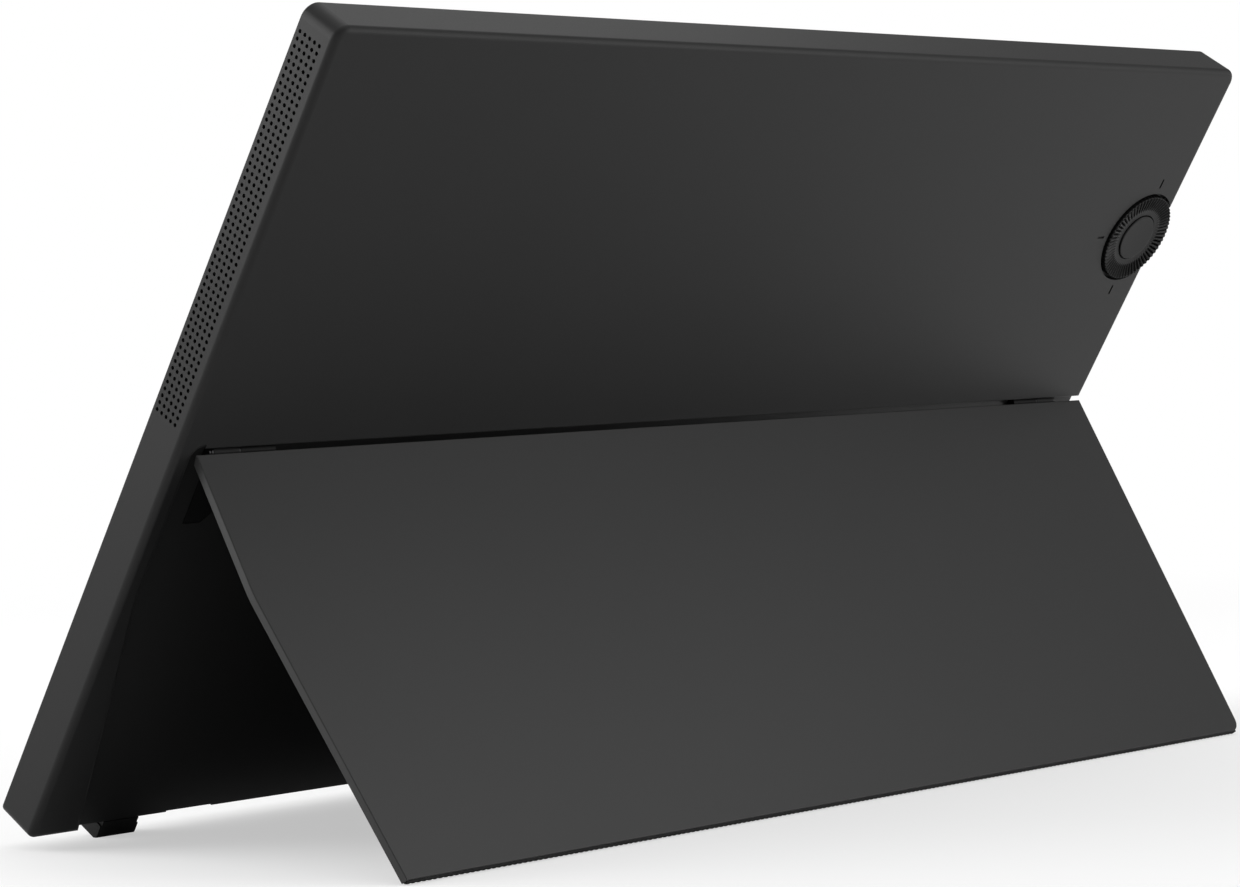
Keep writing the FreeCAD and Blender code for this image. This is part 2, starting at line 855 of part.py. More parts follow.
def control_board():
    top = dial_height + control_board_top_margin
    return block((control_board_edge, control_board_edge + control_board_width),
                 (chassis_rear, control_board_rear), (control_board_bottom, top))


def dial_encoder():
    depth = (control_board_rear, control_board_rear + encoder_height)
    body = block(around(dial_x, encoder_side), depth, around(dial_height, encoder_side))
    return body.cut(rod_y(spindle_radius + encoder_play, dial_x, (0, case_depth), dial_height))


def dial_switch():
    return rod_y(dial_switch_radius, dial_x, (control_board_rear, control_board_rear + dial_switch_height),
                 dial_height)


def dial_bush():
    depth = (dial_floor - dial_floor_wall, dial_floor)
    bush = rod_y(spindle_radius + spindle_play + bush_wall, dial_x, depth, dial_height)
    return bush.cut(rod_y(spindle_radius + spindle_play, dial_x, (0, case_depth), dial_height))


def flute_cuts():
    """Radial V grooves around the dial's rim."""
    half = flute_width / 2
    start = vector(dial_x + dial_land_radius, 0, dial_height)
    section = [vector(start.x, dial_rim_top + flute_depth, start.z - half * 2),
               vector(start.x, dial_rim_top + flute_depth, start.z + half * 2),
               vector(start.x, dial_rim_top - flute_depth, start.z)]
    groove = Part.Face(Part.makePolygon(section + section[:1])).extrude(vector(dial_radius, 0, 0))
    cuts = []
    for index in range(flute_count):
        cut = groove.copy()
        cut.rotate(vector(dial_x, 0, dial_height), vector(0, 1, 0), 360 * index / flute_count)
        cuts.append(cut)
    return cuts


def dial_wheel():
    bore = stem_radius + stem_play
    well = cap_radius + cap_seam
    profile = [(bore, spindle_bottom), (spindle_radius, spindle_bottom), (spindle_radius, dial_base),
               (dial_radius, dial_base), (dial_radius, dial_rim_top - dial_rim_bevel),
               (dial_radius - dial_rim_bevel, dial_rim_top), (dial_land_radius, dial_land_top),
               (well, dial_land_top), (well, cap_floor), (bore, cap_floor)]
    return turned(profile, dial_x, dial_height).cut(flute_cuts())


def dial_clip():
    top = dial_floor - dial_floor_wall - clip_gap
    ring = rod_y(clip_radius, dial_x, (top - clip_thickness, top), dial_height)
    return ring.cut(rod_y(spindle_radius + bush_play, dial_x, (0, case_depth), dial_height))


def dial_cap():
    disc = rod_y(cap_radius, dial_x, (cap_bottom, cap_top), dial_height)
    disc = disc.makeFillet(cap_round, edges_at_depth(disc, cap_top))
    return disc.fuse(rod_y(stem_radius, dial_x, (stem_bottom, cap_bottom), dial_height)).removeSplitter()


def side_key(height):
    """Key in the left wall: a round-ended cap with a flange behind the wall."""
    flange_start = key_flange_gap - wall_inner
    flange_end = flange_start + key_flange_thickness
    cap = stadium(key_depth, height, key_thickness, key_length, (-half_width - key_proud, flange_end))
    cap = cap.makeFillet(key_round, edges_at_side(cap, -half_width - key_proud))
    flange = block((flange_start, flange_end), around(key_depth, key_thickness),
                   around(height, key_length + key_flange * 2))
    return cap.fuse(flange).removeSplitter()


def key_switch(height):
    start = key_flange_gap - wall_inner + key_flange_thickness + key_travel + plunger_gap
    body = block((control_board_edge, control_board_edge + switch_width),
                 (control_board_rear, control_board_rear + switch_height), around(height, switch_length))
    plunger = block((start, control_board_edge), around(key_depth, plunger_thickness),
                    around(height, plunger_length))
    return body.fuse(plunger).removeSplitter()


def key_switches():
    return Part.makeCompound([key_switch(height) for height in (power_key_height, menu_key_height)])


def control_cable_path():
    """(z, y) path from the control board down over the chassis plate to the main board."""
    return [(control_board_bottom + cable_land, control_board_rear),
            (control_board_bottom - cable_edge_gap, control_board_rear),
            (control_board_bottom - cable_edge_gap - cable_step, chassis_rear),
            (board_top + cable_edge_gap + cable_step, chassis_rear),
            (board_top + cable_edge_gap, board_rear),
            (board_top - cable_land, board_rear)]


def panel_cable_path():
    """(x, y) path from the main board over the chassis plate and through its slot."""
    board_end = board_left() + board_length
    drop = board_end + cable_edge_gap + cable_step
    return [(board_end - cable_land, board_rear),
            (board_end + cable_edge_gap, board_rear),
            (drop, chassis_rear),
            (drop + panel_cable_run, chassis_rear),
            (drop + panel_cable_run + cable_step, chassis_front),
            (drop + panel_cable_run + cable_step + cable_land, chassis_front)]


def ribbon(points):
    """Corners of a thin strip laid on a path, with its thickness towards the back."""
    return points + [point + vector(0, cable_thickness, 0) for point in reversed(points)]


def control_cable():
    x_low = control_cable_inset - half_width
    points = ribbon([vector(x_low, y, z) for z, y in control_cable_path()])
    return Part.Face(Part.makePolygon(points + points[:1])).extrude(vector(control_cable_width, 0, 0))


def panel_cable():
    z_low = panel_cable_height - panel_cable_width / 2
    points = ribbon([vector(x, y, z_low) for x, y in panel_cable_path()])
    return Part.Face(Part.makePolygon(points + points[:1])).extrude(vector(0, 0, panel_cable_width))


def hinge_bracket():
    plate = slab(bracket_outline(0), (bracket_floor, floor_depth))
    knuckle = rod_x(knuckle_radius, (fixed_inner, fixed_outer), hinge_depth, hinge_height)
    body = plate.fuse(knuckle).removeSplitter()
    cuts = [rod_x(pin_radius, (fixed_inner - cut_overrun, knuckle_outer), hinge_depth, hinge_height)]
    for x, z in bracket_screw_places():
        cuts.append(screw(x, floor_depth, z, bracket_screw_head_radius + screw_play, bracket_screw_head_depth,
                          bracket_screw_radius + screw_play, bracket_thickness * 2, -1))
    return body.cut(cuts)


def bracket_screws():
    screws = [driven_screw(x, floor_depth, z, bracket_screw_head_radius, bracket_screw_head_depth,
                           bracket_screw_radius, bracket_screw_length, -1)
              for x, z in bracket_screw_places()]
    return Part.makeCompound([mirrored(one, side) for one in screws for side in (1, -1)])


def hinge_pin():
    shank = rod_x(pin_radius, (fixed_inner, pin_head_outer), hinge_depth, hinge_height)
    head = rod_x(pin_head_radius, (pin_head_inner, pin_head_outer), hinge_depth, hinge_height)
    return shank.fuse(head).removeSplitter()


def friction_washers():
    washers = []
    for start in (fixed_outer, pin_head_inner - washer_thickness):
        ring = rod_x(washer_radius, (start, start + washer_thickness), hinge_depth, hinge_height)
        hole = rod_x(pin_radius + pin_play, (fixed_inner, pin_head_outer), hinge_depth, hinge_height)
        washers += both_sides(ring.cut(hole))
    return Part.makeCompound(washers)


def hinge_leaf():
    plate = slab(leaf_outline(0), (hinge_depth, hinge_depth + leaf_thickness))
    knuckle = rod_x(knuckle_radius, (knuckle_inner, knuckle_outer), hinge_depth, hinge_height)
    body = plate.fuse(knuckle).removeSplitter()
    cuts = [rod_x(pin_radius + pin_play, (fixed_inner, pin_head_outer), hinge_depth, hinge_height)]
    for x, z in leaf_screw_places():
        cuts.append(screw(x, hinge_depth, z, leaf_screw_head_radius + screw_play, leaf_screw_head_depth,
                          leaf_screw_radius + screw_play, leaf_thickness * 2, 1))
    return body.cut(cuts)


def leaf_screws():
    screws = [driven_screw(x, hinge_depth, z, leaf_screw_head_radius, leaf_screw_head_depth,
                           leaf_screw_radius, leaf_screw_length, 1)
              for x, z in leaf_screw_places()]
    return Part.makeCompound([mirrored(one, side) for one in screws for side in (1, -1)])


def grip_range():
    return (grip_end_inset - half_width, stand_edge(stand_bottom, stand_side_gap) - grip_end_inset)


def stand_plate():
    kink = ledge_height - rim_straight
    straight = stand_edge(ledge_height, stand_side_gap)
    corners = [(-half_width, stand_bottom, stand_corner_radius), (-half_width, stand_top, 0),
               (straight, stand_top, 0), (straight, kink, rim_bend_radius),
               (stand_edge(stand_bottom, stand_side_gap), stand_bottom, 0)]
    plate = slab(corners, (hinge_depth, case_depth))
    for depth in (hinge_depth, case_depth):
        plate = plate.makeFillet(stand_edge_radius, edges_at_depth(plate, depth))
    bevel = [(hinge_depth, stand_top - stand_top_bevel, 0), (case_depth, stand_top, 0),
             (case_depth, stand_top + cut_overrun, 0),
             (hinge_depth - cut_overrun, stand_top + cut_overrun, 0),
             (hinge_depth - cut_overrun, stand_top - stand_top_bevel, 0)]
    cuts = [side_slab(bevel, (-half_width - cut_overrun, half_width))]
    leaf_pocket = slab(leaf_outline(leaf_play), (hinge_depth - cut_overrun, hinge_depth + leaf_thickness))
    cuts += both_sides(leaf_pocket)
    for x, z in leaf_screw_places():
        depth = (hinge_depth, hinge_depth + leaf_screw_length + screw_play)
        cuts += both_sides(rod_y(leaf_screw_radius + screw_play, x, depth, z))
    cuts.append(grip_bar(stand_bottom - cut_overrun))
    return plate.cut(cuts)


def grip_bar(bottom):
    """Strip let into the lower end of the stand, down to one height."""
    start = hinge_depth + grip_face_inset
    return block(grip_range(), (start, start + grip_width), (bottom, stand_bottom + grip_depth))


def stand_grip():
    return grip_bar(stand_bottom - grip_proud)


def stand_swing(shape):
    """The shape swung with the stand from shut to its open rest angle."""
    opened = shape.copy()
    opened.rotate(vector(0, hinge_depth, hinge_height), vector(1, 0, 0), stand_open_angle)
    return opened


def stand_tip():
    """Line of the open stand's grip that meets the table, as (depth, height)."""
    angle = math.radians(stand_open_angle)
    out = grip_face_inset
    down = stand_bottom - grip_proud - hinge_height
    return (hinge_depth + out * math.cos(angle) - down * math.sin(angle),
            hinge_height + out * math.sin(angle) + down * math.cos(angle))


def lean_angle():
    """Angle in degrees from upright at which the feet and the open stand both meet the table."""
    tip_depth, tip_height = stand_tip()
    return math.degrees(math.atan2(tip_height - foot_contact, tip_depth - floor_depth))


def rubber_foot():
    """Rubber foot with a stem in the bottom wall, a narrow neck and a flat that meets the table."""
    x_range = (foot_outer - foot_length, foot_outer)
    y_range = (floor_depth - foot_width, floor_depth)
    pad = block(x_range, y_range, (-foot_drop, -foot_neck_height))
    inner_edges = [edge for edge in pad.Edges
                   if abs(edge.CenterOfMass.x - x_range[0]) < pick_tolerance
                   and abs(edge.CenterOfMass.y - floor_depth + foot_width / 2) < pick_tolerance]
    pad = pad.makeFillet(foot_round, inner_edges)
    neck = block((x_range[0] + foot_neck_inset, x_range[1] - foot_neck_inset),
                 (y_range[0] + foot_neck_inset, y_range[1]), (-foot_neck_height, 0))
    stem = block(around(foot_outer - foot_length / 2, foot_stem_length),
                 around(floor_depth - foot_width / 2, foot_stem_width), (-foot_neck_height, foot_stem_height))
    foot = pad.fuse([neck, stem]).removeSplitter()
    reach = foot_width + foot_drop
    table = block((x_range[0] - cut_overrun, x_range[1] + cut_overrun),
                  (floor_depth - reach, floor_depth + reach), (foot_contact - reach, foot_contact))
    table.rotate(vector(0, floor_depth, foot_contact), vector(1, 0, 0), lean_angle())
    return foot.cut(table)


def upright_pieces():
    """Every piece of the monitor by name, upright, with the stand open."""
    pieces = {piece.__name__: piece() for piece in (
        rear_cover, vent_mesh, cover_glass, front_frame, lcd_panel, diffuser_sheet, light_guide, led_strip,
        reflector_sheet, panel_back_plate, chassis_plate, case_screws, tripod_nut, main_board, board_spacers,
        board_screws, scaler_chip, board_shield, usb_c_tongues, hdmi_shell, hdmi_tongue, control_board,
        dial_encoder, dial_switch, dial_bush, dial_wheel, dial_clip, dial_cap, key_switches, control_cable,
        panel_cable, bracket_screws, friction_washers)}
    pieces["usb_c_shell_upper"] = usb_shell(usb_upper_height)
    pieces["usb_c_shell_lower"] = usb_shell(usb_lower_height)
    pieces["power_key"] = side_key(power_key_height)
    pieces["menu_key"] = side_key(menu_key_height)
    for side, word in ((1, "right"), (-1, "left")):
        pieces["foot_" + word] = mirrored(rubber_foot(), side)
        pieces["hinge_bracket_" + word] = mirrored(hinge_bracket(), side)
        pieces["hinge_pin_" + word] = mirrored(hinge_pin(), side)
        pieces["hinge_leaf_" + word] = stand_swing(mirrored(hinge_leaf(), side))
    for piece in (stand_plate, stand_grip, leaf_screws):
        pieces[piece.__name__] = stand_swing(piece())
    return pieces


def standing(pieces):
    """Leans the pieces back onto the table and centres them over the origin."""
    for shape in pieces.values():
        shape.rotate(vector(0, floor_depth, foot_contact), vector(1, 0, 0), -lean_angle())
    box = Part.makeCompound(list(pieces.values())).optimalBoundingBox(False)
    for shape in pieces.values():
        shape.translate(vector(-box.Center.x, -box.Center.y, -box.ZMin))
    return vector(-box.Center.x, -box.Center.y, -box.ZMin)


def report_frame(offset):
    """Prints the places of the joints and mounts in the standing frame."""
    angle = math.radians(-lean_angle())

    def placed(x, y, z):
        out = y - floor_depth
        up = z - foot_contact
        spot = vector(x, floor_depth + out * math.cos(angle) - up * math.sin(angle),
                      foot_contact + out * math.sin(angle) + up * math.cos(angle)) + offset
        return tuple(round(value, 4) for value in spot)

    print("lean", round(lean_angle(), 4), "offset", tuple(offset))
    print("rear normal", (0, round(math.cos(angle), 6), round(math.sin(angle), 6)))
    print("hinge axis", placed(0, hinge_depth, hinge_height))
    print("dial axis", placed(dial_x, dial_land_top, dial_height))
    print("tripod mouth", placed(0, floor_depth, tripod_height))
    print("right foot flat", placed(foot_outer - foot_length / 2, floor_depth, foot_contact))


os.makedirs("parts", exist_ok=True)
monitor = upright_pieces()
report_frame(standing(monitor))
for name, shape in monitor.items():
    shape.exportStep("parts/" + name + ".step")
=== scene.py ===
import json
import math
import bpy
import numpy as np
from mathutils import Matrix, Vector


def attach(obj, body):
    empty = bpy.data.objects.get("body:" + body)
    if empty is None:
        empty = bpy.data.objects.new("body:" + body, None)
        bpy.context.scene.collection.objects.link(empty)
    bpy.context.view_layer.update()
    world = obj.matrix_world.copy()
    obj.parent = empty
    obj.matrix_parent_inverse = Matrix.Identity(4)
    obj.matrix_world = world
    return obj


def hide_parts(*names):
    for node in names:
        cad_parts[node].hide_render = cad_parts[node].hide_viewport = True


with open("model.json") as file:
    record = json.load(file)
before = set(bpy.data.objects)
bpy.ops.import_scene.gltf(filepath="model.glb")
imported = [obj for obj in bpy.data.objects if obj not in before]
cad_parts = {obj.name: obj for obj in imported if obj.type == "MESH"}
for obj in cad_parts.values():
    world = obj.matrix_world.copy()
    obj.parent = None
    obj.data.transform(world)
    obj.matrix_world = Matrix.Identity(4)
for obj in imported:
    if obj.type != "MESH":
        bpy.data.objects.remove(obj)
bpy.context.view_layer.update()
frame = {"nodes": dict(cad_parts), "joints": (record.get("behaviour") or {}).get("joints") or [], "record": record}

MM = 0.001
record = frame["record"]
joints = {joint["name"]: joint for joint in frame["joints"]}
mounts = {mount["name"]: mount for mount in record["mounts"]}

# Upright axes of the leaning monitor, with their origin on the stand's hinge line
across = np.array([1.0, 0.0, 0.0])
rearward = np.array(mounts["tripod_thread"]["axis"])
upward = np.cross(across, rearward)
upright_axes = np.stack([across, rearward, upward])
hinge_line = np.array(joints["stand_hinge"]["pos_m"])
lean = math.atan2(-rearward[2], rearward[1])

# Axes of the open stand, turned from the upright axes by the angle that shuts it
stand_open = -math.radians(joints["stand_hinge"]["range_deg"][0])
stand_axes = np.stack([across,
                       rearward * math.cos(stand_open) + upward * math.sin(stand_open),
                       upward * math.cos(stand_open) - rearward * math.sin(stand_open)])


def node_points(node, axes=upright_axes):
    """Coordinates of a CAD node's points along three axes, seen from the hinge line."""
    mesh = frame["nodes"][node].data
    points = np.empty(len(mesh.vertices) * 3, np.float32)
    mesh.vertices.foreach_get("co", points)
    return (points.reshape(-1, 3) - hinge_line) @ axes.T


def node_extents(node, axes=upright_axes):
    """Lowest and highest of these coordinates."""
    local = node_points(node, axes)
    return local.min(axis=0), local.max(axis=0)


def placed(points, axes=upright_axes):
    """Points given along three axes from the hinge line, in the frame."""
    return hinge_line + points @ axes


# Surfaces on a grid
def grid_faces(rows, columns, close_rows):
    """Quads between neighbours of a grid whose last column joins its first, and its last row too where asked."""
    index = np.arange(rows * columns).reshape(rows, columns)
    index = np.concatenate([index, index[:, :1]], axis=1)
    if close_rows:
        index = np.concatenate([index, index[:1]], axis=0)
    return np.stack([index[:-1, :-1], index[1:, :-1], index[1:, 1:], index[:-1, 1:]], axis=-1).reshape(-1, 4)


def capped_faces(rows, columns):
    """Faces of a tube of rings, one ring per row, with a flat face over the first and over the last ring."""
    ring = np.arange(columns)
    last = ring[::-1] + (rows - 1) * columns
    return grid_faces(rows, columns, False).tolist() + [ring.tolist(), last.tolist()]


def add_piece(name, points, faces, body, slot, sharp_angle=35.0):
    """Smooth mesh object with sharp creases past an angle, riding on a body."""
    mesh = bpy.data.meshes.new(name)
    mesh.from_pydata(points.reshape(-1, 3).tolist(), [], list(faces))
    mesh.shade_smooth()
    mesh.set_sharp_from_angle(angle=math.radians(sharp_angle))
    mesh.validate()
    piece = bpy.data.objects.new(name, mesh)
    bpy.context.scene.collection.objects.link(piece)
    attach(piece, body)
    return piece


def smooth_step(values, start, end):
    """Goes from 0 at start to 1 at end with level ends: 3 t squared minus 2 t cubed."""
    share = np.clip((values - start) / (end - start), 0.0, 1.0)
    return share * share * (3.0 - 2.0 * share)


def turned(section, angle, middle):
    """Points (radius, depth) of a section, turned by an angle about the line through middle along the depth."""
    return placed(np.stack(np.broadcast_arrays(middle[0] + section[..., 0] * np.cos(angle), section[..., 1],
                                               middle[2] + section[..., 0] * np.sin(angle)), axis=-1))


# Dial wheel and its press cap
dial_low, dial_high = node_extents("dial_wheel")
cap_low, cap_high = node_extents("dial_cap")
dial_middle = (dial_low + dial_high) / 2
cap_radius = (cap_high[0] - cap_low[0]) / 2
stem_radius = 1.5 * MM
stem_play = 0.06 * MM


def dial_surface():
    """Closed profile (radius, depth) turned round the dial's axis: a flat land round the cap's well, a dished slope
    up to the rim, the rim's round, the wall, the base and the spindle.

    Each point is pushed in along its profile normal by flute_depth times (1 - |sin(flutes * angle / 2)|), which
    gives round ribs with sharp grooves. The push rises at the foot of the slope and fades out over the rim.
    """
    flutes = 60
    steps_per_flute = 12
    flute_depth = 0.7 * MM
    outer_share = 0.22
    rise_zone = (0.08, 0.4)
    fade_zone = (0.2, 0.8)
    slope_points, rim_points, wall_points = 14, 7, 8
    edge = 0.12 * MM
    rim_round = 0.45 * MM
    seam = 0.2 * MM
    well_depth = 1.35 * MM
    land_drop = 0.75 * MM
    land_width = 1.0 * MM
    wheel_height = 2.5 * MM
    spindle_radius = 3.0 * MM
    bore_radius = stem_radius + stem_play
    radius = (dial_high[0] - dial_low[0]) / 2
    rim_top = dial_high[1]
    land_top = rim_top - land_drop
    base = rim_top - wheel_height
    well = cap_radius + seam
    well_floor = cap_high[1] - well_depth
    land_edge = well + land_width
    slope = np.linspace(0.0, 1.0, slope_points)
    turn = np.linspace(0.0, 1.0, rim_points)[1:] * math.pi / 2
    drop = np.linspace(0.0, 1.0, wall_points)[1:]
    slope_line = np.stack([land_edge + slope * (radius - rim_round - land_edge),
                           land_top + slope * land_drop], axis=1)
    rim_arc = np.stack([radius - rim_round + rim_round * np.sin(turn),
                        rim_top - rim_round + rim_round * np.cos(turn)], axis=1)
    wall = np.stack([np.full_like(drop, radius),
                     rim_top - rim_round + drop * (base + edge - rim_top + rim_round)], axis=1)
    cap_well = np.array([(bore_radius, well_floor), (well, well_floor), (well, land_top - edge),
                         (well + edge, land_top)])
    underside = np.array([(radius - edge, base), (spindle_radius, base), (spindle_radius, dial_low[1]),
                          (bore_radius, dial_low[1])])
    profile = np.concatenate([cap_well, slope_line, rim_arc, wall, underside])
    push = np.concatenate([np.zeros(len(cap_well)), smooth_step(slope, *rise_zone),
                           1.0 - (1.0 - outer_share) * np.sin(turn),
                           outer_share * (1.0 - smooth_step(drop, *fade_zone)), np.zeros(len(underside))])
    inward = np.concatenate([np.zeros_like(cap_well), np.tile((0.0, -1.0), (len(slope), 1)),
                             -np.stack([np.sin(turn), np.cos(turn)], axis=1),
                             np.tile((-1.0, 0.0), (len(wall), 1)), np.zeros_like(underside)])
    angle = np.arange(flutes * steps_per_flute)[:, None] * 2 * math.pi / (flutes * steps_per_flute)
    groove = flute_depth * (1.0 - np.abs(np.sin(angle * flutes / 2)))
    section = profile[None] + groove[..., None] * (push[:, None] * inward)[None]
    return turned(section, angle, dial_middle), grid_faces(len(angle), len(profile), True)


def cap_surface():
    """Disc with a stem, a profile (radius, depth) turned round the dial's axis: the top is dished as the square of
    the radius, its edge is a quarter round, and the smallest ring at each end is closed by a flat face.
    """
    steps = 128
    dish_points, round_points = 16, 8
    smallest_ring = 0.1
    dish = 0.07 * MM
    edge_round = 0.32 * MM
    thickness = 0.85 * MM
    top = cap_high[1]
    flat_radius = cap_radius - edge_round
    spread_out = np.linspace(smallest_ring, 1.0, dish_points)
    turn = np.linspace(0.0, 1.0, round_points)[1:] * math.pi / 2
    profile = np.concatenate([
        np.stack([flat_radius * spread_out, top - dish * (1.0 - spread_out ** 2)], axis=1),
        np.stack([flat_radius + edge_round * np.sin(turn), top - edge_round + edge_round * np.cos(turn)], axis=1),
        [(cap_radius, top - thickness), (stem_radius, top - thickness), (stem_radius, cap_low[1])]])
    angle = -np.arange(steps)[None, :] * 2 * math.pi / steps
    section = np.broadcast_to(profile[:, None, :], (len(profile), steps, 2))
    return turned(section, angle, dial_middle), capped_faces(len(profile), steps)


fluted_dial = add_piece("fluted_dial", *dial_surface(), "dial", "dial")
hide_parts("dial_wheel")
press_cap = add_piece("press_cap", *cap_surface(), "dial_button", "dial")
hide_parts("dial_cap")


# Ribbed rubber strip on the stand's lower end
def grip_surface():
    """Rounded bar carried along x: its section is a superellipse whose lower half rises by rib_depth times
    (1 - |sin(ribs * pi * share)|), which gives round ribs, and the two end sections are closed by flat faces.
    The bar runs from corner to corner of the plate's lower end.
    """
    end_zone = 1.0 * MM
    corner_gap = 0.5 * MM
    rib_pitch = 1.6 * MM
    rib_depth = 0.14 * MM
    steps_per_rib = 8
    section_steps = 24
    power = 0.3
    low, high = node_extents("stand_grip", stand_axes)
    middle = (low + high) / 2
    half = (high - low) / 2
    plate = node_points("stand_plate", stand_axes)
    plate_end = plate[plate[:, 2] < plate[:, 2].min() + end_zone, 0]
    start, length = plate_end.min() + corner_gap, np.ptp(plate_end) - 2 * corner_gap
    ribs = round(length / rib_pitch)
    share = np.linspace(0.0, 1.0, ribs * steps_per_rib + 1)[:, None]
    angle = -np.arange(section_steps)[None, :] * 2 * math.pi / section_steps
    out = np.sign(np.cos(angle)) * np.abs(np.cos(angle)) ** power
    up = np.sign(np.sin(angle)) * np.abs(np.sin(angle)) ** power
    lift = rib_depth * (1.0 - np.abs(np.sin(share * ribs * math.pi))) * np.clip(-up, 0.0, 1.0)
    points = np.stack(np.broadcast_arrays(start + share * length, middle[1] + half[1] * out,
                                          middle[2] + half[2] * up + lift), axis=-1)
    return placed(points, stand_axes), capped_faces(len(share), section_steps)


ribbed_grip = add_piece("ribbed_grip", *grip_surface(), "stand", "rubber")
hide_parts("stand_grip")


# Open end of the ledge above the stand
def ledge_end_surface():
    """Corner of the upper back, built of rings (across, depth), one for each height above the ledge's underside.

    A ring follows the casing's side and its quarter round onto the rear face, then goes back inside the casing.
    Near the underside it moves in by the drop of two quarter rounds, one at the end and a smaller one at the back.
    """
    ledge_rise = 2.23 * MM
    side_round = 1.5 * MM
    end_round = 0.9 * MM
    back_round = 0.4 * MM
    reach, depth, height = 5.0 * MM, 2.2 * MM, 4.5 * MM
    inset = 0.012 * MM
    back_points, end_points, side_points = 7, 5, 10
    cover_low, cover_high = node_extents("rear_cover")
    end = cover_low[0] + inset
    back = cover_high[1] - inset
    rise = np.concatenate([np.linspace(0.0, 1.0, back_points) ** 2 * back_round,
                           np.linspace(back_round, end_round, end_points)[1:], [height / 2, height]])[:, None]
    move_in, move_down = (size - np.sqrt(size ** 2 - np.clip(size - rise, 0.0, size) ** 2)
                          for size in (end_round, back_round))
    turn = np.linspace(0.0, 1.0, side_points)[None, :] * math.pi / 2
    side = np.maximum(end + side_round * (1.0 - np.cos(turn)), end + move_in)
    rear = np.minimum(back - side_round * (1.0 - np.sin(turn)), back - move_down)
    ones = np.ones_like(rise)
    across_ring = np.concatenate([end + move_in, side, ones * (end + reach), ones * (end + reach)], axis=1)
    depth_ring = np.concatenate([ones * (back - depth), rear, back - move_down, ones * (back - depth)], axis=1)
    points = np.stack(np.broadcast_arrays(across_ring, depth_ring, ledge_rise + rise), axis=-1)
    return placed(points), capped_faces(len(rise), across_ring.shape[1])


ledge_end = add_piece("ledge_end", *ledge_end_surface(), "housing", "casing")


# Contact strips on the tongues of the sockets
def strip_set(tip, length, depths, heights, width, thickness):
    """Flat strips that run along x from a tip, one for each pair of a depth and a height.

    Each is a ring of eight points on a superellipse, carried along x and narrowed to half its size at the tip,
    with its two ends closed by flat faces.
    """
    power = 0.4
    columns = 8
    tip_share = 0.08
    tip_size = 0.5
    travel = np.array([0.0, tip_share, 1.0])
    size = np.array([tip_size, 1.0, 1.0])
    angle = -np.arange(columns) * 2 * math.pi / columns
    out = np.sign(np.cos(angle)) * np.abs(np.cos(angle)) ** power * thickness / 2
    up = np.sign(np.sin(angle)) * np.abs(np.sin(angle)) ** power * width / 2
    depth, height = (spot.ravel() for spot in np.meshgrid(depths, heights))
    points = np.stack(np.broadcast_arrays(tip + travel[None, :, None] * length,
                                          depth[:, None, None] + size[None, :, None] * out,
                                          height[:, None, None] + size[None, :, None] * up), axis=-1)
    return points.reshape(-1, 3), len(depth), len(travel), columns


def contact_surface():
    """The strips of both round sockets and of the bevelled one, joined as one set of points and faces."""
    proud = 0.04 * MM
    strip_thickness = 0.1 * MM
    tip_gap = 0.3 * MM
    sets = []
    for tongues, shell, blade, pitch, count, width, length in (
            ("usb_c_tongues", "usb_c_shell_upper", 0.7 * MM, 0.5 * MM, 12, 0.28 * MM, 3.2 * MM),
            ("usb_c_tongues", "usb_c_shell_lower", 0.7 * MM, 0.5 * MM, 12, 0.28 * MM, 3.2 * MM),
            ("hdmi_tongue", "hdmi_shell", 0.6 * MM, 0.4 * MM, 9, 0.22 * MM, 3.0 * MM)):
        low, high = node_extents(shell)
        tip = node_extents(tongues)[0][0] + tip_gap
        reach = blade / 2 + proud - strip_thickness / 2
        depths = (low[1] + high[1]) / 2 + np.array([-reach, reach])
        heights = (low[2] + high[2]) / 2 + (np.arange(count) - (count - 1) / 2) * pitch
        sets.append(strip_set(tip, length, depths, heights, width, strip_thickness))
    points = np.concatenate([group[0] for group in sets])
    strips = sum(group[1] for group in sets)
    rows, columns = sets[0][2:]
    one = capped_faces(rows, columns)
    faces = [[corner + strip * rows * columns for corner in face] for strip in range(strips) for face in one]
    return placed(points), faces


port_contacts = add_piece("port_contacts", *contact_surface(), "housing", "brass")


# Node tools for materials
def add_node(tree, kind, inputs, **settings):
    """New shader node of a kind with its settings, where an input is a number, a colour or another node's output."""
    node = tree.nodes.new("ShaderNode" + kind)
    for name, value in settings.items():
        setattr(node, name, value)
    for name, value in inputs.items():
        if isinstance(value, bpy.types.NodeSocket):
            tree.links.new(value, node.inputs[name])
        else:
            node.inputs[name].default_value = value
    return node


def object_place(tree):
    """The frame's own coordinates, which every piece keeps because it sits at the origin."""
    return add_node(tree, "TexCoord", {}).outputs["Object"]


def upright_place(tree, centre=(0.0, 0.0, 0.0), turn=0.0, stretch=(1.0, 1.0, 1.0)):
    """Coordinates across, rearward and upward from a point of the upright axes, stretched, with a turn about x."""
    away = upright_axes @ hinge_line + np.array(centre)
    level = add_node(tree, "Mapping", {"Vector": object_place(tree), "Location": tuple(-away),
                                       "Rotation": (lean, 0.0, 0.0)}).outputs["Vector"]
    return add_node(tree, "Mapping", {"Vector": level, "Rotation": (turn, 0.0, 0.0),
                                      "Scale": stretch}).outputs["Vector"]


def noise(tree, place, scale, detail=2.0, roughness=0.5):
    """Clouds of about one feature per 1 / scale metres, from 0 to 1."""
    return add_node(tree, "TexNoise", {"Vector": place, "Scale": scale, "Detail": detail,
                                       "Roughness": roughness}).outputs["Fac"]


